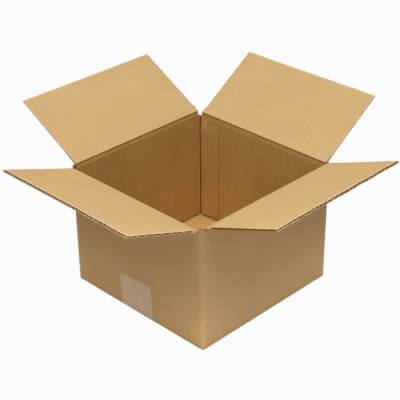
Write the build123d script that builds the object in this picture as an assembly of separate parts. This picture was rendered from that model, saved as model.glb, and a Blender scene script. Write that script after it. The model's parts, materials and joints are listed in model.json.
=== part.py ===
from build123d import *
import math
import os

# Open slotted carton of single-wall corrugated board, in millimetres.
# Z is up, the origin is the middle of the underside, the side flaps hinge on the X walls.

# Carton, inside
inside_length = 200.0
inside_width = 200.0
inside_depth = 138.0

# Corrugated board
board = 3.0
liner = 0.25
medium = 0.25
flute_pitch = 6.8
flank_angle = 48.0

# Flaps and the slots between them
seam_gap = 4.0
lap_gap = 0.3
flap_side_room = 2.2
slot_clearance = 0.25
corner_lift = 1.5

# How far each open top flap stands above level
front_lift = 20.2
right_lift = 21.3
back_lift = 33.3
left_lift = 29.0

# Folds and scores
fold_inner_radius = 0.5
corner_inner_radius = 1.0
score_half_width = 4.0
crease_clearance = 0.1
crush_run = 2.0

# Glued joint at the back left corner
tab_width = 35.5
tab_end_gap = 1.0
tab_taper = 3.0
joint_setback = 0.8
joint_drop = 2.0

# Packing tape over the bottom seam
tape_width = 50.0
tape_thickness = 0.06
tape_end_height = 44.0

# Sizes that follow
half_length = inside_length / 2 + board
half_width = inside_width / 2 + board
slot_inset = board + flap_side_room
front_run = 2 * (half_length - slot_inset)
side_run = 2 * (half_width - slot_inset)

outer_flap_level = 0.0
inner_flap_level = board + lap_gap
floor_level = inner_flap_level + board
low_score = floor_level + inside_depth + board
high_score = low_score + board + lap_gap
slot_level = high_score
joint_level = low_score - joint_drop

lip = liner
lip_gap = lip + crease_clearance
fold_outer_radius = board + fold_inner_radius
corner_outer_radius = board + corner_inner_radius
tab_fold_radius = flap_side_room
flute_start = score_half_width + crush_run

# Quarter turns that carry a +X wall to each side
turns = {"right": 0, "back": 90, "left": 180, "front": 270}


def outline(*points):
    """Flat face inside a closed run of straight lines"""
    return make_face(Polyline(*points, close=True))


def rounded(face, corner, radius):
    """The face with the corner nearest to the point rounded"""
    return fillet(face.vertices().sort_by_distance(corner)[:1], radius)


def standing(face, bottom, top):
    """Plan face raised between two levels"""
    return Pos(0, 0, bottom) * extrude(face, top - bottom)


def wall_panel(half_span, run, flap_level, score_level):
    """Wall on the +X side, from its crushed top score round the bottom fold to its flap's edge"""
    inner_face = half_span - board
    flap_edge = seam_gap / 2
    profile = outline(
        (flap_edge, flap_level),
        (half_span, flap_level),
        (half_span, score_level - lip_gap),
        (half_span - lip, score_level - lip_gap),
        (inner_face, score_level - score_half_width),
        (inner_face, flap_level + board),
        (flap_edge, flap_level + board),
    )
    profile = rounded(profile, (half_span, flap_level), fold_outer_radius)
    profile = rounded(profile, (inner_face, flap_level + board), fold_inner_radius)
    return extrude(Plane.XZ * profile, run / 2, both=True)


def corner_fold(side_x, side_y):
    """Rounded upright fold between two walls, with the slot ends above and below it"""
    outer_x = side_x * half_length
    outer_y = side_y * half_width
    inner_x = side_x * (half_length - board)
    inner_y = side_y * (half_width - board)
    slot_x = side_x * (half_length - slot_inset)
    slot_y = side_y * (half_width - slot_inset)
    plan = outline(
        (outer_x, slot_y),
        (outer_x, outer_y),
        (slot_x, outer_y),
        (slot_x, inner_y),
        (inner_x, inner_y),
        (inner_x, slot_y),
    )
    plan = rounded(plan, (outer_x, outer_y), corner_outer_radius)
    plan = rounded(plan, (inner_x, inner_y), corner_inner_radius)
    return standing(plan, corner_lift, slot_level)


def glued_corner():
    """Back left corner: the left wall folds into a tab that is glued inside the back wall's cut end"""
    cut_end = outline(
        (-half_length + joint_setback, half_width),
        (-half_length + slot_inset, half_width),
        (-half_length + slot_inset, half_width - board),
        (-half_length + joint_setback, half_width - board),
    )
    tab_outer = half_width - board
    tab_inner = tab_outer - board
    fold_end = -half_length + board + flap_side_room / 2
    wall_foot = half_width - 2 * slot_inset
    fold = outline(
        (-half_length, wall_foot),
        (-half_length, tab_outer),
        (fold_end, tab_outer),
        (fold_end, tab_inner),
        (-half_length + board, tab_inner),
        (-half_length + board, wall_foot),
    )
    fold = rounded(fold, (-half_length, tab_outer), tab_fold_radius)
    tab_root = -half_length + board
    tab_edge = -half_length + tab_width
    tab_bottom = floor_level + tab_end_gap
    tab_top = low_score - score_half_width - tab_end_gap
    tab = outline(
        (tab_root, tab_bottom),
        (tab_edge, tab_bottom + tab_taper),
        (tab_edge, tab_top - tab_taper),
        (tab_root, tab_top),
    )
    tab = Pos(0, tab_outer, 0) * extrude(Plane.XZ * tab, board)
    return standing(cut_end, corner_lift, joint_level) + standing(fold, corner_lift, joint_level) + tab


def carton_body():
    """Four walls, the glued joint and the four closed bottom flaps, folded from one sheet"""
    side_wall = wall_panel(half_length, side_run, outer_flap_level, high_score)
    end_wall = wall_panel(half_width, front_run, inner_flap_level, low_score)
    body = glued_corner()
    for side, wall in (("right", side_wall), ("back", end_wall), ("left", side_wall), ("front", end_wall)):
        body += Rot(0, 0, turns[side]) * wall
    for side_x, side_y in ((1, -1), (1, 1), (-1, -1)):
        body += corner_fold(side_x, side_y)
    # The tape beds into the underside, so that both lie flush
    return body - sealing_tape()


def flute_channel(pitch):
    """Hollow above one valley of the fluted medium, with its middle on the local Y axis"""
    flank = math.radians(flank_angle)
    half_at_middle = pitch / 4 - medium / math.sin(flank) / 2
    apex = board / 2 - half_at_middle * math.tan(flank)
    base = board - liner
    half_base = (base - apex) / math.tan(flank)
    valley_radius = (liner + medium - apex) / (1 / math.cos(flank) - 1)
    channel = outline((-half_base, base), (half_base, base), (0, apex))
    return rounded(channel, (0, apex), valley_radius)


def top_flap(reach, run):
    """Flap lying level along +X, hinge line on the Y axis, with its outer liner below"""
    width = run - 2 * slot_clearance
    flutes = round(width / flute_pitch)
    pitch = width / flutes
    upper = flute_channel(pitch)
    lower = Pos(0, board) * mirror(upper, Plane.XZ)
    section = Pos(0, board / 2) * Rectangle(width, board)
    channels = [Pos(index * pitch - width / 2, 0) * upper for index in range(flutes + 1)]
    channels += [Pos((index + 0.5) * pitch - width / 2, 0) * lower for index in range(flutes)]
    section -= channels
    fluted = extrude(Plane((flute_start, 0, 0), x_dir=(0, 1, 0), z_dir=(1, 0, 0)) * section, reach - flute_start)
    root = outline(
        (lip_gap, 0),
        (flute_start, 0),
        (flute_start, board),
        (score_half_width, board),
        (lip_gap, lip),
    )
    return fluted + extrude(Plane.XZ * root, width / 2, both=True)


def open_flap(flap, half_span, score_level, lift, side):
    """Flap raised to where it stands open and carried to its wall"""
    return Rot(0, 0, turns[side]) * Pos(half_span, 0, score_level) * Rot(0, -lift, 0) * flap


def sealing_tape():
    """Clear film under the bottom seam and up the front and back walls"""
    bend_height = inner_flap_level + fold_outer_radius * (2 - math.sqrt(2))
    bend_foot = half_width - bend_height
    corner_growth = tape_thickness * (math.sqrt(2) - 1)
    outer_face = half_width + tape_thickness
    half_profile = [
        (bend_foot + tape_thickness + corner_growth, 0),
        (outer_face, bend_height - corner_growth),
        (outer_face, tape_end_height),
        (half_width, tape_end_height),
        (half_width, bend_height),
        (bend_foot + tape_thickness, tape_thickness),
    ]
    other_half = [(-across, height) for across, height in reversed(half_profile)]
    return extrude(Plane.YZ * outline(*half_profile, *other_half), tape_width / 2, both=True)


side_flap = top_flap(half_length - seam_gap / 2, side_run)
end_flap = top_flap(half_width - seam_gap / 2, front_run)

nodes = {
    "carton_body": carton_body(),
    "top_flap_front": open_flap(end_flap, half_width, low_score, front_lift, "front"),
    "top_flap_right": open_flap(side_flap, half_length, high_score, right_lift, "right"),
    "top_flap_back": open_flap(end_flap, half_width, low_score, back_lift, "back"),
    "top_flap_left": open_flap(side_flap, half_length, high_score, left_lift, "left"),
    "sealing_tape": sealing_tape(),
}

os.makedirs("parts", exist_ok=True)
for name, solid in nodes.items():
    export_step(solid, f"parts/{name}.step")
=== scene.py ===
import json
import math

import bpy
import numpy as np
from mathutils import Matrix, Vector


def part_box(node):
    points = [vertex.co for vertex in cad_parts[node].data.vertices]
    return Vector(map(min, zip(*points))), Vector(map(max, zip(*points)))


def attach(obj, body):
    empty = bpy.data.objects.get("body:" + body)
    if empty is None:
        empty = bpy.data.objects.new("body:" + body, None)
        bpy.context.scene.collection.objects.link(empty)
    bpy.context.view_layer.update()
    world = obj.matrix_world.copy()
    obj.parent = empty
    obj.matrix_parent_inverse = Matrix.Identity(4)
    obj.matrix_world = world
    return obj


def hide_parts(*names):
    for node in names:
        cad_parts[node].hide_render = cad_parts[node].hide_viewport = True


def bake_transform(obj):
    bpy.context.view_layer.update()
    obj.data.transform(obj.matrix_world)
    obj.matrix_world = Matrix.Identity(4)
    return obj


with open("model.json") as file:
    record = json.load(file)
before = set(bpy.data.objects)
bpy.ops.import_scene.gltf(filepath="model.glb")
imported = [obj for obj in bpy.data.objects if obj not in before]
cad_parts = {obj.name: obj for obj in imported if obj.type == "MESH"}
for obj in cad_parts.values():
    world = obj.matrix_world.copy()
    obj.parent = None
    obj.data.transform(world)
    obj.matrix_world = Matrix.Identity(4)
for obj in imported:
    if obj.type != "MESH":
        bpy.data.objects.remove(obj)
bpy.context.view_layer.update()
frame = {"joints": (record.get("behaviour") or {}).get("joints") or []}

# Open slotted carton of corrugated board, in metres, in the frame of its CAD model.
# Each wall and flap is made of grids of points that are swept along its crease.
# Out is away from the box, along runs anticlockwise round it, up is Z.
turns = {"right": 0, "back": 90, "left": 180, "front": 270}
upward = np.array((0.0, 0.0, 1.0))
outward = {}
sideways = {}
for side, turn in turns.items():
    angle = math.radians(turn)
    outward[side] = np.array((math.cos(angle), math.sin(angle), 0.0))
    sideways[side] = np.array((-math.sin(angle), math.cos(angle), 0.0))

# What the frame gives
creases = {joint["child"].removeprefix("flap_"): joint for joint in frame["joints"]}
score_level = {side: crease["pos_m"][2] for side, crease in creases.items()}
lift = {side: math.radians(180 - crease["range_deg"][1]) for side, crease in creases.items()}
half_span = creases["right"]["pos_m"][0]
flap_low, flap_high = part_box("top_flap_front")
flap_half = (flap_high.x - flap_low.x) / 2
tape_low, tape_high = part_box("sealing_tape")
tape_half = (tape_high.x - tape_low.x) / 2
tape_top = tape_high.z

# Corrugated board
board = 0.003
liner = 0.00042
medium = 0.00034
flutes = 29
pitch = 2 * flap_half / flutes
panel_flutes = 46
panel_shift = panel_flutes * pitch

# Rows and columns of the grids of points
samples_per_flute = 6
medium_samples = 12
panel_rows = 26
bend_rows = 9
bottom_rows = 12
upright_rows = 34
upright_bend_rows = 7
corner_columns = 17
cut_end_columns = 5
tab_rows = 24
tab_flutes = 5
flap_rows = 37
# Rows at a flap's free edge painted pale as light in the flute openings
painted_light_rows = 4
tape_columns = 61
tape_rows = (24, 3, 6, 20)

# Seeds of the random draws
seed_step = 10
flap_seed = 100
film_seed = 7

# Walls, folds and slots
slot_clearance = 0.00025
panel_half = flap_half + slot_clearance
band = 0.004
slot_level = score_level["right"]
fold_radius = 0.0027
corner_radius = 0.004
corner_groove = 0.0026
corner_foot = {"right": 0.0018, "left": 0.0018, "front": 0.0036}
fold_end = math.radians(65)
foot_level = 0.0005
foot_radius = 0.0022
foot_slope = 40
seam_half = 0.002
lap_gap = 0.0003
flap_level = {"right": 0.0, "back": board + lap_gap, "left": 0.0, "front": board + lap_gap}
outer_ripple = 0.000008
inner_ripple = 0.00007
ripple_fade = 0.007
wall_warp = 0.0003
warp_across = 0.16
warp_down = 0.12

# Glued joint at the back left corner
joint_drop = 0.002
joint_level = score_level["front"] - joint_drop
joint_setback = 0.0008
tab_width = 0.0355
tab_end_gap = 0.001
tab_taper = 0.003
tab_crush = 0.0019
tab_fold_radius = 0.0042
left_wall_cut = 0.002
tab_fold_end = 0.0049
tab_score = 0.002
tab_top_run = 0.014
tab_top_share = 0.1
tab_crush_rate = 1.6

# Top flaps
flap_reach = half_span - seam_half
crush_end = 0.0082
lip_depth = {"right": 0.0002, "back": 0.0024, "left": 0.0024, "front": 0.0}
lip_height = {"right": 0.0022, "back": 0.0038, "left": 0.0024, "front": 0.0022}
notch_height = 0.0013
notch_depth = 0.0012
lip_edge = 0.0004
lip_clearance = 0.0001
lip_rounding = ((0.0, lip_edge), (0.00012, 0.0001), (0.00035, 0.0), (0.0006, 0.0))
lean_rate = 1.3
wall_shares = (0.0, 0.25, 0.5, 0.75, 1.0)
crush_shares = (0.1, 0.28, 0.46, 0.64, 0.82)
score_drops = (band, 0.003, 0.002, 0.0014, 0.0009, 0.0005, 0.0002)
score_reaches = (0.0003, 0.0008, 0.0015, 0.0024, 0.0036, 0.005, 0.0065)
flap_ripple = 0.000012
flap_warp = 0.0005
flap_warp_spacing = 0.2
edge_wave_share = 0.3
edge_wave_spacing = 0.05
# Crush and rag at a flap's two sides: where its run along the crease starts, and where it ends
tip_crush = 0.0008
side_crush = {
    "front": (tip_crush, 0.0),
    "right": (0.0, tip_crush),
    "back": (tip_crush, tip_crush),
    "left": (tip_crush, tip_crush),
}
slight_rag = 0.0004
side_rag = {
    "front": (0.0, 0.003),
    "right": (0.0002, 0.0),
    "back": (slight_rag, slight_rag),
    "left": (slight_rag, slight_rag),
}
side_crush_run = 0.0018
side_crush_start = 0.02
rag_spacing = 0.012
edge_bevel = 0.001
edge_steps = np.array((0.0, edge_bevel, 0.0014, 0.0018))
edge_run = 0.0024
bevel_drop = 0.0003
edge_growth_share = 0.2
edge_overhang = 0.0005
edge_flare = 0.0002
slit = 0.0015

# Packing tape
film = 0.00006
film_stand = 0.00004
tape_skew = 0.0016
tape_lean = 0.0022
tape_bridge = 0.00175
tape_bend_height = 0.002
tape_bend_inset = 0.0003
film_lift = 0.00012
film_lift_across = 0.02
film_lift_down = 0.03
film_end_run = 0.006


# Mesh building
sharp_angle = math.radians(40)


def point_quads(numbers):
    """Faces between neighbouring points of a grid of point numbers"""
    corners = (numbers[:-1, :-1], numbers[:-1, 1:], numbers[1:, 1:], numbers[1:, :-1])
    return np.stack(corners, axis=-1).reshape(-1, 4)


def border(numbers):
    """Point numbers once round the edge of a grid"""
    return np.concatenate((numbers[0, :-1], numbers[:-1, -1], numbers[-1, :0:-1], numbers[:0:-1, 0]))


class Sheets:
    """Closed slabs of one piece, with each point's place on the flat blank"""

    def __init__(self):
        self.points = []
        self.places = []
        self.faces = []
        self.paints = []
        self.count = 0

    def add_slab(self, front, back, across, down, paints):
        """Slab between two grids of points, painted on its front, its back and each edge of its rim"""
        rows, columns = front.shape[:2]
        numbers = self.count + np.arange(rows * columns).reshape(rows, columns)
        behind = numbers + rows * columns
        ring = border(numbers)
        ring_behind = border(behind)
        rim = np.stack((np.roll(ring, -1), ring, ring_behind, np.roll(ring_behind, -1)), axis=-1)
        parts = (point_quads(numbers), point_quads(behind)[:, ::-1], rim)
        middle = (rows // 2 - 1, columns // 2 - 1)
        first = front[middle]
        beside = front[middle[0], middle[1] + 1]
        below = front[middle[0] + 1, middle[1]]
        outside = np.dot(np.cross(beside - first, below - first), first - back[middle]) > 0
        grid_paints = [np.broadcast_to(paint, (rows - 1, columns - 1)).ravel() for paint in paints[:2]]
        rim_paint = np.repeat(np.broadcast_to(paints[2], 4), (columns - 1, rows - 1) * 2)
        for faces, paint in zip(parts, (*grid_paints, rim_paint)):
            self.faces.append(faces if outside else faces[:, ::-1])
            self.paints.append(paint)
        across = np.broadcast_to(across, (rows, columns))
        down = np.broadcast_to(down, (rows, columns))
        for points, depth in ((front, 0.0), (back, 1.0)):
            self.points.append(points.reshape(-1, 3))
            place = np.stack((across, down, np.full((rows, columns), depth)), axis=-1)
            self.places.append(place.reshape(-1, 3))
        self.count += 2 * rows * columns

    def finished(self, name, materials):
        """The slabs as one mesh object"""
        mesh = bpy.data.meshes.new(name)
        points = np.concatenate(self.points)
        faces = np.concatenate(self.faces)
        mesh.from_pydata(points.tolist(), [], faces.tolist())
        for material in materials:
            mesh.materials.append(material)
        mesh.polygons.foreach_set("material_index", np.concatenate(self.paints).astype(np.int32))
        mesh.polygons.foreach_set("use_smooth", np.ones(len(faces), dtype=bool))
        place = mesh.attributes.new("blank", "FLOAT_VECTOR", "POINT")
        place.data.foreach_set("vector", np.concatenate(self.places).astype(np.float32).ravel())
        mesh.set_sharp_from_angle(angle=sharp_angle)
        mesh.update()
        piece = bpy.data.objects.new(name, mesh)
        bpy.context.scene.collection.objects.link(piece)
        return piece


def left_normals(path):
    """Unit normals to the left of a path, at its points"""
    ahead = np.gradient(path, axis=0)
    ahead /= np.linalg.norm(ahead, axis=1, keepdims=True)
    return np.stack((-ahead[:, 1], ahead[:, 0]), axis=1)


def run_along(path):
    """Distance from the path's start to each of its points"""
    steps = np.linalg.norm(np.diff(path, axis=0), axis=1)
    return np.concatenate(((0.0,), np.cumsum(steps)))


def swept(side, path, along, push):
    """Grid of points: a path of (out, up) points carried along its side, pushed to the path's left"""
    normals = left_normals(path)
    out = path[:, :1] + normals[:, :1] * push
    up = path[:, 1:] + normals[:, 1:] * push
    along = np.broadcast_to(along, out.shape)
    return out[..., None] * outward[side] + along[..., None] * sideways[side] + up[..., None] * upward


def raised(plan, heights):
    """Grid of points: a plan path repeated at heights, which may differ from point to point"""
    heights = np.broadcast_to(heights, (len(heights), len(plan)))
    ground = np.broadcast_to(plan, (len(heights), len(plan), 2))
    return np.concatenate((ground, heights[..., None]), axis=-1)


def arc(centre, radius, start, end, steps):
    """Points on an arc, with its angles in degrees"""
    angles = np.radians(np.linspace(start, end, steps))
    return np.stack((centre[0] + radius * np.cos(angles), centre[1] + radius * np.sin(angles)), axis=1)


def line(start, end, steps):
    """Points on a straight run, without its first one"""
    return np.linspace(start, end, steps + 1)[1:]


def smooth(value):
    """Soft step from 0 to 1"""
    value = np.clip(value, 0.0, 1.0)
    return value * value * (3 - 2 * value)


def wander(seed, place, spacing):
    """Smooth random values of about -1 to 1 along place, that change over about the spacing"""
    random = np.random.default_rng(seed)
    total = np.zeros_like(place)
    for _ in range(5):
        rate = random.uniform(0.5, 1.5) * 2 * math.pi / spacing
        total += np.sin(rate * place + random.uniform(0, 2 * math.pi))
    return total / 3


def flute_wave(along):
    """Where the fluted medium runs: -1 at the outer liner, 1 at the inner one"""
    return np.cos(2 * math.pi * along / pitch)


# Walls and bottom flaps
OUTER, INNER, BOARD_EDGE, PAPER_EDGE_AND_HIGHLIGHT, RAW, CREASE_SHADE, SHADED_WALL = range(7)
side_order = list(turns)


def blank_across(side, along):
    """Place along the flat blank"""
    return side_order.index(side) * panel_shift + along


def bottom_path(side):
    """Wall's outer face from its score down, round the bottom fold and along its bottom flap"""
    level = flap_level[side]
    sags = level > foot_level
    radius = foot_radius if sags else fold_radius
    heel = foot_level if sags else level
    centre = (half_span - radius, heel + radius)
    top = np.array((half_span, score_level[side] - band))
    bend = arc(centre, radius, 0, -90 - foot_slope if sags else -90, bend_rows)
    foot = bend[-1]
    if sags:
        slope_run = (foot[1] - level) / math.tan(math.radians(foot_slope))
        foot = np.array((foot[0] + slope_run, level))
    flat = line(foot, (seam_half, level), bottom_rows)
    inner_start = [foot[None]] if sags else []
    upright = line(top, (half_span, centre[1]), panel_rows)
    path = np.concatenate((top[None], upright, bend[1:], *inner_start, flat))
    return path, top[1] - centre[1]


def add_wall(sheets, side, start=-panel_half):
    """Wall from the lower limit of its score round the bottom fold to the edge of its bottom flap"""
    path, wall_run = bottom_path(side)
    along = np.linspace(start, panel_half, (flutes + 1) * samples_per_flute + 1)[None, :]
    down = run_along(path)[:, None]
    edge = smooth((panel_half - np.abs(along)) / ripple_fade)
    fold = smooth(down / ripple_fade) * smooth(np.abs(down - wall_run) / ripple_fade)
    wave = flute_wave(along) * edge * fold
    seed = seed_step * side_order.index(side)
    bow = wander(seed, along, warp_across) * wander(seed + 1, down, warp_down)
    bow = bow * edge * np.where(down < wall_run, 4 * down / wall_run * (1 - down / wall_run), 0.0)
    front = swept(side, path, along, wall_warp * bow - outer_ripple * wave)
    back = swept(side, path, along, wall_warp * bow - board - inner_ripple * wave)
    # The rim takes the cut board, with painted shade in its open flutes
    sheets.add_slab(front, back, blank_across(side, along), -band - down, (OUTER, INNER, BOARD_EDGE))


def add_upright(sheets, plan, normals, thickness, top, foot, across, paints):
    """Upright strip of board along a plan path, from its top down round the start of the bottom fold"""
    bends = np.linspace(0.0, fold_end, upright_bend_rows)[1:, None]
    straight = np.linspace(0, 1, upright_rows)[:, None]
    upper = top + (foot_level + foot - top) * straight
    heights = np.concatenate((upper, foot_level + foot * (1 - np.sin(bends))))
    heights = np.broadcast_to(heights, (len(heights), len(plan)))
    bends = np.concatenate((np.zeros_like(straight), bends))
    inset = foot * (1 - np.cos(bends))
    ground = plan - normals * inset[..., None]
    front = np.concatenate((ground, heights[..., None]), axis=-1)
    turned = np.broadcast_to(bends, heights.shape)[..., None]
    facing = np.concatenate((normals * np.cos(turned), -np.sin(turned)), axis=-1)
    back = front - facing * thickness[:, None]
    sheets.add_slab(front, back, across, heights, paints)


def bend_thickness(steps, groove):
    """Thickness across a quarter bend, where the score leaves a groove inside it"""
    share = np.linspace(0, 1, steps)
    return board - groove * np.sin(math.pi * share)


def add_corner(sheets, side):
    """Rounded upright fold at the end of a wall, with the score's groove inside it"""
    flat = half_span - corner_radius
    bend = arc((0.0, 0.0), 1.0, 0, 90, corner_columns)
    plan = np.concatenate((
        ((half_span, panel_half),),
        flat + corner_radius * bend,
        ((panel_half, half_span),),
    ))
    normals = np.concatenate((bend[:1], bend, bend[-1:]))
    thickness = np.concatenate(((board,), bend_thickness(corner_columns, corner_groove), (board,)))
    run = run_along(plan)
    turn = np.array(Matrix.Rotation(math.radians(turns[side]), 2))
    across = blank_across(side, panel_half + run)
    plan = plan @ turn.T
    normals = normals @ turn.T
    add_upright(sheets, plan, normals, thickness, slot_level, corner_foot[side], across, (OUTER, RAW, RAW))


def add_cut_end(sheets):
    """End of the back wall at the glued corner"""
    along = np.linspace(panel_half, half_span - joint_setback, cut_end_columns)
    plan = np.stack((-along, np.full_like(along, half_span)), axis=1)
    normals = np.broadcast_to((0.0, 1.0), plan.shape)
    thickness = np.full_like(along, board)
    across = blank_across("back", along)
    paints = (OUTER, INNER, PAPER_EDGE_AND_HIGHLIGHT)
    add_upright(sheets, plan, normals, thickness, joint_level, fold_radius, across, paints)


def add_tab(sheets):
    """Left wall's fold into the glue tab, and the crushed tab inside the back wall"""
    tab_face = half_span - board
    flat = np.array((-half_span + tab_fold_radius, tab_face - tab_fold_radius))
    bend = arc((0.0, 0.0), 1.0, 180, 90, corner_columns)
    plan = np.concatenate((
        ((-half_span, panel_half - left_wall_cut),),
        flat + tab_fold_radius * bend,
        ((-half_span + tab_fold_end, tab_face),),
    ))
    normals = np.concatenate((bend[:1], bend, bend[-1:]))
    thickness = np.full(len(plan), board)
    run = run_along(plan)
    across = blank_across("left", -panel_half + left_wall_cut - run)
    # The rims of the tab and its fold take the darker crease paper, as painted shade at the glued corner
    paints = (OUTER, INNER, CREASE_SHADE)
    add_upright(sheets, plan, normals, thickness, joint_level, fold_radius, across, paints)

    start = -half_span + tab_fold_end + tab_score
    end = -half_span + tab_width
    along = np.linspace(start, end, tab_flutes * samples_per_flute)
    share = (along - start) / (end - start)
    bottom = flap_level["back"] + board + tab_end_gap + tab_taper * share
    top = score_level["back"] - band - tab_taper * share
    heights = top + (bottom - top) * np.linspace(0, 1, tab_rows)[:, None]
    wave = flute_wave(along) * smooth((along - start) / ripple_fade) * inner_ripple
    glued = raised(np.stack((along, np.full_like(along, tab_face)), axis=1), heights)
    thinned = tab_top_share + (1 - tab_top_share) * smooth((top - heights) / tab_top_run)
    thickness = (board - tab_crush * smooth(tab_crush_rate * share)) * thinned
    inside = glued.copy()
    inside[..., 1] += wave - thickness
    across = blank_across("left", -panel_half + left_wall_cut - run[-1] - (along - start))
    sheets.add_slab(glued, inside, across, heights, paints)


def make_carton(materials):
    """Four walls, three folded corners, the glued corner and the closed bottom"""
    sheets = Sheets()
    for side in ("right", "back", "front"):
        add_wall(sheets, side)
    for side in ("right", "left", "front"):
        add_corner(sheets, side)
    add_wall(sheets, "left", start=-panel_half + left_wall_cut)
    add_cut_end(sheets)
    add_tab(sheets)
    return sheets.finished("carton", materials)


# Top flaps
def crease_paths(side):
    """Outer and inner face of a flap and its score, from the wall to the free edge, as (out, up) points"""
    tilt = lift[side]
    flap_way = np.array((math.cos(tilt), math.sin(tilt)))
    flap_up = np.array((-math.sin(tilt), math.cos(tilt)))
    axis = np.array((half_span, score_level[side]))

    def on_wall(depth, below):
        return axis - (depth, below)

    def on_flap(reach, height):
        return axis + reach * flap_way + height * flap_up

    reaches = np.append(np.linspace(crush_end, flap_reach - edge_bevel, flap_rows), flap_reach)
    outer = [on_wall(0, below) for below in score_drops]
    outer += [axis]
    outer += [on_flap(reach, 0) for reach in (*score_reaches, *reaches)]

    # Inner face: up the wall, a notch under the lip, and over the lip on to the flap
    depth = lip_depth[side]
    height = lip_height[side]
    lip = (height * math.sin(tilt) - depth) / math.cos(tilt)
    under_lip = -lip * math.sin(tilt) - height * math.cos(tilt) + notch_height + lip_edge
    inner = []
    for share in wall_shares:
        lean = smooth(lean_rate * share)
        inset = board + lean * (depth + lip_clearance - board)
        inner.append(on_wall(inset, band + share * (under_lip - band)))
    inner.append(on_wall(depth - notch_depth, under_lip - notch_height / 2))
    inner += [on_flap(lip + run, height - drop) for run, drop in lip_rounding]
    for share in crush_shares:
        inner.append(on_flap(lip + share * (crush_end - lip), height + smooth(share) * (board - height)))
    inner += [on_flap(min(reach, flap_reach - edge_overhang), board) for reach in reaches]
    return np.array(outer), np.array(inner), reaches


def make_flap(side, materials):
    """Flap with its liners and fluted medium, its crushed score and the top of its wall"""
    outer, inner, reaches = crease_paths(side)
    crease_rows = len(outer) - len(reaches)
    seed = flap_seed + seed_step * side_order.index(side)
    inner_half = flap_half - edge_run
    along = np.linspace(-inner_half, inner_half, flutes * samples_per_flute)
    along = np.concatenate((-flap_half + edge_steps, along, (flap_half - edge_steps)[::-1]))[None, :]
    reach = np.concatenate((np.zeros(crease_rows), reaches))[:, None]
    share = reach / flap_reach

    from_side = flap_half - np.abs(along)
    near_side = np.exp(-((from_side / side_crush_run) ** 2)) * smooth(reach / side_crush_start)
    rags = [wander(seed + 2 + end, reach, rag_spacing) for end in (0, 1)]
    ragged = np.where(along < 0, *rags)
    pinch = near_side * np.where(along < 0, *side_crush[side])
    rag = near_side * np.clip(np.where(along < 0, *side_rag[side]) * ragged, 0, slit)
    bevel = np.clip(1 - np.minimum(from_side, flap_reach - reach) / edge_bevel, 0, 1)
    free = smooth((reach - crush_end) / ripple_fade)
    wave = flute_wave(along) * free
    edge_wave = edge_wave_share * wander(seed + 1, along, edge_wave_spacing)
    bow = flap_warp * share ** 2 * (wander(seed, along, flap_warp_spacing) + edge_wave)
    flare = edge_flare * np.clip(1 - (flap_reach - reach) / edge_bevel, 0, 1)
    lower = bow - flap_ripple * wave + pinch + rag
    upper = bow + flap_ripple * wave - pinch - bevel_drop * bevel
    thickness = liner * (1 + edge_growth_share * bevel)

    across = blank_across(side, along)
    outer_down = run_along(outer)[:, None] - band
    sheets = Sheets()
    bottom = swept(side, outer, along, lower - flare)
    bottom_back = swept(side, outer, along, lower + thickness)
    raw_paint = np.full((len(inner) - 1, along.size - 1), RAW)
    top_paint = np.full_like(raw_paint, INNER)
    # The right flap is cut along open flutes, so its sides stay brown
    # Elsewhere the sides take the pale cut paper, partly painted highlight along the liners' edges
    side_paint = RAW if side == "right" else PAPER_EDGE_AND_HIGHLIGHT
    if side_paint == PAPER_EDGE_AND_HIGHLIGHT:
        raw_paint[:, (0, -1)] = side_paint
        top_paint[:, (0, -1)] = side_paint
    # The lower liner's inside near the free edge is painted pale: painted light in the flute openings
    raw_paint[-painted_light_rows:] = PAPER_EDGE_AND_HIGHLIGHT
    # The top liner's bevel row is painted pale: painted highlight on the free edge
    top_paint[-1] = PAPER_EDGE_AND_HIGHLIGHT
    rim_paint = (PAPER_EDGE_AND_HIGHLIGHT, side_paint, PAPER_EDGE_AND_HIGHLIGHT, side_paint)
    sheets.add_slab(bottom, bottom_back, across, outer_down, (OUTER, raw_paint, rim_paint))
    top_along = np.clip(along, edge_overhang - flap_half, flap_half - edge_overhang)
    top = swept(side, inner, top_along, upper)
    top_back = swept(side, inner, top_along, upper - thickness)
    # Notch rows under the lip: darker crease paper, as painted shade in the crease
    top_paint[:len(wall_shares) + 1] = CREASE_SHADE
    # Band on the wall below the notch: the inside liner, painted darker as shade
    top_paint[:len(wall_shares) - 1] = SHADED_WALL
    sheets.add_slab(top, top_back, across, outer_down, (top_paint, RAW, rim_paint))

    # Crushed board inside the score
    ends = np.array(((-flap_half, flap_half),))
    still = np.zeros((crease_rows + 1, 2))
    core = slice(0, crease_rows + 1)
    core_top = swept(side, inner[core], ends, still - liner)
    core_bottom = swept(side, outer[core], ends, still + liner)
    core_across = blank_across(side, ends)
    sheets.add_slab(core_top, core_bottom, core_across, outer_down[core], (RAW, RAW, PAPER_EDGE_AND_HIGHLIGHT))

    # Fluted medium between the liners
    wave_along = np.linspace(-flap_half, flap_half, flutes * medium_samples + 1)[None, :]
    rows = slice(crease_rows, None)
    low, high = (
        np.stack([np.interp(wave_along[0], along[0], row) for row in grid[rows]])
        for grid in (lower, upper)
    )
    low = low + liner + medium / 2
    high = high + board - liner - medium / 2
    height = low + (high - low) * (0.5 + 0.5 * flute_wave(wave_along))
    wave_across = blank_across(side, wave_along)
    faces = [swept(side, outer[rows], wave_along, height + half) for half in (medium / 2, -medium / 2)]
    # The medium's underside near the free edge is painted pale: painted light in the lower flute openings
    under_paint = np.full((len(reaches) - 1, wave_along.size - 1), RAW)
    under_paint[-painted_light_rows:] = PAPER_EDGE_AND_HIGHLIGHT
    sheets.add_slab(*faces, wave_across, outer_down[rows], (RAW, under_paint, PAPER_EDGE_AND_HIGHLIGHT))
    return sheets.finished("flap_" + side, materials)


# Packing tape
CLEAR, GLUED = range(2)


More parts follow.
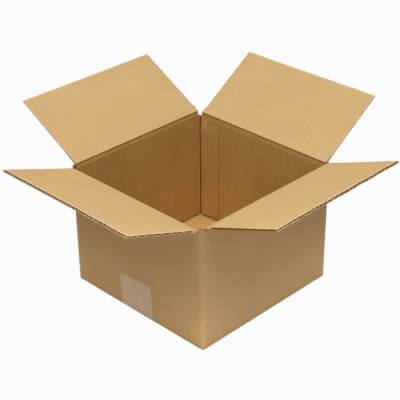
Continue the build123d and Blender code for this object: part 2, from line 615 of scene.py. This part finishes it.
def make_tape(materials):
    """Clear film up the front wall, under the bottom seam and up the back wall"""
    skin = half_span + film_stand
    corners = (
        (skin, tape_top),
        (skin, tape_bridge + tape_bend_height),
        (skin - tape_bend_inset, tape_bridge),
        (skin - tape_bridge, -film_stand),
        (0.0, -film_stand),
    )
    runs = [line(start, end, rows) for start, end, rows in zip(corners, corners[1:], tape_rows)]
    path = np.concatenate((np.array(corners[:1]), *runs))
    along = np.linspace(-tape_half, tape_half, tape_columns)[None, :]
    sheets = Sheets()
    down = run_along(path)[:, None]
    bubbles = wander(film_seed, along, film_lift_across) * wander(film_seed + 1, down, film_lift_down)
    lift_off = film_lift * np.clip(bubbles, 0, 1) * smooth(down / film_end_run) * (down < tape_top)
    for side, skew in (("front", tape_skew), ("back", -tape_skew)):
        front = swept(side, path, along, lift_off + film)
        back = swept(side, path, along, lift_off)
        slope = np.clip((path[:, 1] - tape_bridge) / (tape_top - tape_bridge), 0, 1)[:, None]
        rise = slope * skew * along / tape_half
        drift = -slope * tape_lean * skew / tape_skew
        for grid in (front, back):
            grid += rise[..., None] * upward + drift[..., None] * sideways[side]
        sheets.add_slab(front, back, along, down, (CLEAR, GLUED, CLEAR))
    return sheets.finished("tape", materials)


# Materials
# Run from a flap's crease over which the extra painted ripple shade fades out
crease_ripple_shade_run = 0.05
grain_height = 0.0002
flute_relief = 0.0004
cloud_share = 0.6
fibre_share = 0.5
speck_share = 0.2
lane_share = 0.5
cut_wave_share = 0.4
cut_medium_share = 0.07
cut_liner_share = 0.4
veil_share = 0.2
veil_streak_share = 0.4


def linear(red, green, blue):
    """Colour of a picture's 0 to 255 values, as Blender's colours are written"""
    shares = (value / 255 for value in (red, green, blue))
    return (*(((share + 0.055) / 1.055) ** 2.4 for share in shares), 1.0)


class Paint:
    """A material with a principled shader, and a short way to add nodes to it"""

    def __init__(self, name, roughness, specular):
        self.material = bpy.data.materials.new(name)
        self.material.use_nodes = True
        self.tree = self.material.node_tree
        self.shader = self.tree.nodes["Principled BSDF"]
        self.shader.inputs["Roughness"].default_value = roughness
        self.shader.inputs["Specular IOR Level"].default_value = specular

    def put(self, socket, value):
        """Link a socket to another, or set its value"""
        if isinstance(value, bpy.types.NodeSocket):
            self.tree.links.new(value, socket)
        else:
            socket.default_value = value

    def node(self, kind, inputs, **settings):
        """New node with its inputs and settings"""
        node = self.tree.nodes.new(kind)
        for name, value in settings.items():
            setattr(node, name, value)
        for name, value in inputs.items():
            self.put(node.inputs[name], value)
        return node

    def blank(self):
        """Place on the flat blank: across the flutes, along them, and depth in the board"""
        return self.node("ShaderNodeAttribute", {}, attribute_name="blank").outputs["Vector"]

    def math(self, operation, *values):
        """Result of one operation on values or sockets"""
        return self.node("ShaderNodeMath", dict(enumerate(values)), operation=operation).outputs[0]

    def clamped(self, value, scale, offset):
        """Scaled and shifted value, held between 0 and 1"""
        inputs = {0: value, 1: scale, 2: offset}
        return self.node("ShaderNodeMath", inputs, operation="MULTIPLY_ADD", use_clamp=True).outputs[0]

    def noise(self, place, scale, stretch=(1.0, 1.0, 1.0), detail=2.0):
        """Noise of 0 to 1 with about this many features a metre, stretched along the blank"""
        mapped = self.node("ShaderNodeVectorMath", {0: place, 1: stretch}, operation="MULTIPLY").outputs[0]
        inputs = {"Vector": mapped, "Scale": scale, "Detail": detail}
        return self.node("ShaderNodeTexNoise", inputs).outputs[0]

    def mottled(self, tone, noise, weight):
        """Tone with noise of 0 to 1 added about its middle"""
        return self.math("MULTIPLY_ADD", self.math("SUBTRACT", noise, 0.5), weight, tone)

    def ramp(self, value, *stops):
        """Colour at a value, from stops of a position and a colour"""
        node = self.node("ShaderNodeValToRGB", {"Fac": value})
        elements = node.color_ramp.elements
        while len(elements) < len(stops):
            elements.new(0.5)
        for element, (position, colour) in zip(elements, stops):
            element.position = position
            element.color = colour
        return node.outputs["Color"]

    def bump(self, height, strength, distance):
        """Relief of the surface, from heights of 0 to 1 over a distance"""
        inputs = {"Height": height, "Strength": strength, "Distance": distance}
        self.put(self.shader.inputs["Normal"], self.node("ShaderNodeBump", inputs).outputs[0])

    def colour(self, value):
        """Colour of the surface, as a value or a socket"""
        self.put(self.shader.inputs["Base Color"], value)

    def roughness(self, value):
        """Roughness of the surface, as a value or a socket"""
        self.put(self.shader.inputs["Roughness"], value)

    def surface(self, shader):
        """Another shader's result as the whole surface"""
        self.put(self.tree.nodes["Material Output"].inputs["Surface"], shader.outputs[0])


def kraft_liner(name, dark, light, streak, crease_ripple_shade=0.0):
    """Kraft paper over flutes: mottled, fibrous and faintly streaked, with stripes of painted shade along
    the flutes that grow towards a flap's crease
    """
    paint = Paint(name, 0.8, 0.25)
    place = paint.blank()
    across, down = paint.node("ShaderNodeSeparateXYZ", {0: place}).outputs[:2]
    clouds = paint.noise(place, scale=22.0, detail=4.0)
    fibres = paint.noise(place, scale=420.0, stretch=(0.35, 1.6, 1.0), detail=3.0)
    specks = paint.noise(place, scale=1500.0)
    lanes = paint.noise(place, scale=70.0, stretch=(1.0, 0.25, 1.0))
    wave = paint.math("COSINE", paint.math("MULTIPLY", across, 2 * math.pi / pitch))
    patches = paint.clamped(lanes, 3.0, -1.0)
    strength = streak
    if crease_ripple_shade:
        near_crease = paint.clamped(down, -1 / crease_ripple_shade_run, 1.0)
        strength = paint.math("MULTIPLY_ADD", near_crease, crease_ripple_shade, streak)
    # Stripes along the flutes darken the colour: painted shade of the ripples that the flutes raise in the
    # liner
    washboard_shade = paint.math("MULTIPLY", paint.math("MULTIPLY", wave, patches), strength)
    tone = paint.mottled(0.5, clouds, cloud_share)
    tone = paint.mottled(tone, fibres, fibre_share)
    tone = paint.mottled(tone, specks, speck_share)
    tone = paint.mottled(tone, lanes, lane_share * streak)
    tone = paint.math("SUBTRACT", tone, washboard_shade)
    paint.colour(paint.ramp(tone, (0.0, dark), (1.0, light)))
    paint.roughness(paint.math("MULTIPLY_ADD", fibres, 0.15, 0.72))
    grain = paint.math("MULTIPLY_ADD", specks, 0.5, fibres)
    paint.bump(grain, 0.25, grain_height)
    return paint.material


def cut_board(name):
    """Cut edge of the board: the liners and the wave of the medium, with painted shade in the open flutes
    between
    """
    paint = Paint(name, 0.9, 0.1)
    place = paint.blank()
    parts = paint.node("ShaderNodeSeparateXYZ", {0: place})
    across = parts.outputs[0]
    depth = parts.outputs[2]
    wave = paint.math("COSINE", paint.math("MULTIPLY", across, 2 * math.pi / pitch))
    wave_depth = paint.math("MULTIPLY_ADD", wave, cut_wave_share, 0.5)
    gap = paint.math("ABSOLUTE", paint.math("SUBTRACT", depth, wave_depth))
    in_wave = paint.math("LESS_THAN", gap, cut_medium_share)
    from_middle = paint.math("ABSOLUTE", paint.math("SUBTRACT", depth, 0.5))
    in_liner = paint.math("GREATER_THAN", from_middle, cut_liner_share)
    solid = paint.math("MAXIMUM", in_wave, in_liner)
    fibres = paint.noise(place, scale=900.0, detail=3.0)
    tone = paint.math("MULTIPLY", solid, paint.math("MULTIPLY_ADD", fibres, 0.4, 0.6))
    # Dark end of the ramp: painted shade inside the open flutes
    paint.colour(paint.ramp(tone, (0.0, linear(58, 40, 20)), (1.0, linear(205, 170, 118))))
    paint.bump(tone, 0.5, flute_relief)
    return paint.material


def raw_paper(name, dark, light):
    """Unfinished paper of the medium and of torn and cut edges, with the cut paper paled partly as painted
    highlight and the crease paper darkened as painted shade
    """
    paint = Paint(name, 0.9, 0.1)
    place = paint.blank()
    fibres = paint.noise(place, scale=700.0, stretch=(1.0, 0.6, 1.0), detail=3.0)
    paint.colour(paint.ramp(fibres, (0.25, dark), (0.75, light)))
    paint.bump(fibres, 0.4, grain_height)
    return paint.material


def clear_film(name):
    """Clear film with a thin milky veil, and drawn streaks along its length"""
    paint = Paint(name, 0.3, 0.5)
    place = paint.blank()
    streaks = paint.noise(place, scale=260.0, stretch=(1.0, 0.03, 1.0), detail=3.0)
    clouds = paint.noise(place, scale=60.0, detail=3.0)
    tone = paint.math("MULTIPLY_ADD", clouds, 0.5, paint.math("MULTIPLY", streaks, 0.5))
    paint.colour(linear(252, 238, 208))
    clear = paint.node("ShaderNodeBsdfTransparent", {})
    veil = paint.math("MULTIPLY_ADD", tone, veil_streak_share, veil_share)
    mix = paint.node("ShaderNodeMixShader", {0: veil, 1: clear.outputs[0], 2: paint.shader.outputs[0]})
    paint.surface(mix)
    return paint.material


def glued_film(name):
    """Side of the film that its glue joins to the board, so that it mirrors nothing"""
    paint = Paint(name, 0.3, 0.5)
    clear = paint.node("ShaderNodeBsdfTransparent", {})
    paint.surface(clear)
    paint.tree.nodes.remove(paint.shader)
    return paint.material


# Stage
floor_level = -0.0004
floor_half = 6.0
floor_tone = 0.17
floor_white_share = 0.97
covered_half = half_span - fold_radius
sky_strength = 0.06

# Lamps
overhead_lamp = {"place": (0.2, -0.3, 1.88), "aim": (0.0, 0.0, 0.1), "sizes": (1.3, 1.3), "power": 34.5}
front_lamp = {"place": (0.24, -0.22, 0.25), "aim": (0.1, -0.1, 0.13), "sizes": (0.04, 0.04), "power": 0.09}
table_stand = 0.0001
table_level = floor_level + table_stand
table_gap = 0.003
table_width = 0.22
table_length = 0.36
neutral = (1.0, 1.0, 1.0)
warm = (1.0, 0.94, 0.88)
table_glows = {
    "right": (0.265, neutral),
    "back": (0.12, neutral),
    "left": (0.12, neutral),
    "front": (0.235, warm),
}

# Camera
camera_azimuth = math.radians(44.91)
camera_elevation = math.radians(29.56)
camera_roll = math.radians(-0.54)
camera_distance = 1.2725
camera_target = np.array((0.0, 0.0, 0.10495))
camera_side_shift = -0.00126
camera_lens = 100.3
camera_sensor = 36.0


def white_to_sight(tree):
    """Share of white for rays that see the stage, directly or by gloss or glass"""
    path = tree.nodes.new("ShaderNodeLightPath")
    sight = path.outputs["Is Camera Ray"]
    for name in ("Is Glossy Ray", "Is Transmission Ray"):
        either = tree.nodes.new("ShaderNodeMath")
        either.operation = "MAXIMUM"
        tree.links.new(sight, either.inputs[0])
        tree.links.new(path.outputs[name], either.inputs[1])
        sight = either.outputs[0]
    return sight


def floor_paint(name, white_share):
    """Pale floor that looks this much towards white to sight, whatever light falls on it"""
    paint = Paint(name, 0.9, 0.0)
    paint.colour((floor_tone, floor_tone, floor_tone, 1.0))
    if white_share:
        white = paint.node("ShaderNodeEmission", {})
        share = paint.math("MULTIPLY", white_to_sight(paint.tree), white_share)
        mix = paint.node("ShaderNodeMixShader", {0: share, 1: paint.shader.outputs[0], 2: white.outputs[0]})
        paint.surface(mix)
    return paint.material


def make_floor():
    """Wide floor that looks nearly white and keeps the box's shadow, dark where the box stands on it"""
    corners = ((-1, -1), (1, -1), (1, 1), (-1, 1))
    halves = (floor_half, covered_half)
    points = [(x * half, y * half, floor_level) for half in halves for x, y in corners]
    faces = [(first, (first + 1) % 4, (first + 1) % 4 + 4, first + 4) for first in range(4)]
    mesh = bpy.data.meshes.new("floor")
    mesh.from_pydata(points, [], [*faces, (4, 5, 6, 7)])
    mesh.materials.append(floor_paint("pale_floor", floor_white_share))
    mesh.materials.append(floor_paint("covered_floor", 0.0))
    mesh.polygons[-1].material_index = 1
    floor = bpy.data.objects.new("floor", mesh)
    bpy.context.scene.collection.objects.link(floor)


def make_world():
    """White to sight, and soft light from all round"""
    world = bpy.data.worlds.new("studio")
    bpy.context.scene.world = world
    world.use_nodes = True
    tree = world.node_tree
    soft = tree.nodes["Background"]
    soft.inputs["Color"].default_value = (1.0, 1.0, 1.0, 1.0)
    soft.inputs["Strength"].default_value = sky_strength
    white = tree.nodes.new("ShaderNodeBackground")
    white.inputs["Color"].default_value = (1.0, 1.0, 1.0, 1.0)
    mix = tree.nodes.new("ShaderNodeMixShader")
    tree.links.new(white_to_sight(tree), mix.inputs[0])
    tree.links.new(soft.outputs[0], mix.inputs[1])
    tree.links.new(white.outputs[0], mix.inputs[2])
    tree.links.new(mix.outputs[0], tree.nodes["World Output"].inputs["Surface"])


def make_lamp(name, place, aim, sizes, power):
    """Rectangular soft lamp that faces its aim"""
    lamp = bpy.data.lights.new(name, "AREA")
    lamp.shape = "RECTANGLE"
    lamp.size, lamp.size_y = sizes
    lamp.energy = power
    holder = bpy.data.objects.new(name, lamp)
    way = np.array(aim) - np.array(place)
    holder.matrix_world = looking(place, way / np.linalg.norm(way), 0.0)
    holder.visible_camera = False
    bpy.context.scene.collection.objects.link(holder)
    return holder


def make_table_glow():
    """Light that the table top throws up on each wall, from a little off its foot"""
    for side, (power, colour) in table_glows.items():
        place = (half_span + table_gap + table_width / 2) * outward[side] + table_level * upward
        sizes = table_length + (table_width - table_length) * np.abs(outward[side][:2])
        lamp = make_lamp("table_" + side, place, place + upward, sizes, power)
        lamp.visible_glossy = False
        lamp.data.color = colour


def looking(place, way, roll):
    """Matrix of a camera or lamp at a place that looks along a way"""
    side = np.cross(way, (0.0, 1.0, 0.0) if abs(way[2]) > 0.999 else upward)
    side /= np.linalg.norm(side)
    top = np.cross(side, way)
    columns = (
        math.cos(roll) * side + math.sin(roll) * top,
        math.cos(roll) * top - math.sin(roll) * side,
        -way,
    )
    matrix = Matrix.Translation(place)
    for column, vector in enumerate(columns):
        for row in range(3):
            matrix[row][column] = vector[row]
    return matrix


def make_camera():
    """Camera at the photograph's viewing angle"""
    back = np.array((
        math.sin(camera_azimuth) * math.cos(camera_elevation),
        -math.cos(camera_azimuth) * math.cos(camera_elevation),
        math.sin(camera_elevation),
    ))
    place = camera_target + camera_distance * back
    camera = bpy.data.cameras.new("camera")
    camera.sensor_width = camera_sensor
    camera.lens = camera_lens
    holder = bpy.data.objects.new("camera", camera)
    matrix = looking(place, -back, camera_roll)
    side = np.array(matrix.col[0][:3])
    matrix.translation = place + camera_side_shift * side
    holder.matrix_world = matrix
    bpy.context.scene.collection.objects.link(holder)
    bpy.context.scene.camera = holder


# The scene
bpy.context.scene.view_settings.view_transform = "Standard"
outer_liner = kraft_liner("kraft_outer", linear(192, 153, 102), linear(216, 177, 121), 0.09)
# The same inner liner as on the flaps, painted darker and more saturated as shade inside the box
shaded_inside_liner = kraft_liner("kraft_inside", linear(188, 147, 83), linear(211, 170, 103), 0.3)
flap_liner = kraft_liner("kraft_flap", linear(198, 162, 108), linear(220, 185, 129), 0.08, 0.16)
edge_paints = [
    cut_board("cut_board"),
    # Pale paper of cut fibres, paled further as painted highlight on edges
    raw_paper("cut_paper", linear(228, 198, 152), linear(250, 228, 186)),
    raw_paper("medium_paper", linear(130, 85, 32), linear(170, 117, 52)),
    # Darker paper, painted as shade in the notches of the flap creases and on the glued tab's rims
    raw_paper("fold_paper", linear(150, 96, 36), linear(182, 124, 58)),
]
# The carton's inner faces and inside floor take the inside liner painted as shade
wall_paints = [outer_liner, shaded_inside_liner, *edge_paints]
flap_paints = [outer_liner, flap_liner, *edge_paints, shaded_inside_liner]

carton = make_carton(wall_paints)
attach(carton, "carton")
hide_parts("carton_body")

for side in side_order:
    flap = make_flap(side, flap_paints)
    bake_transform(flap)
    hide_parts("top_flap_" + side)

tape = make_tape([clear_film("clear_film"), glued_film("glued_film")])
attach(tape, "carton")
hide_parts("sealing_tape")

make_floor()
make_world()
make_lamp("overhead", **overhead_lamp)
make_lamp("front", **front_lamp)
make_table_glow()
make_camera()
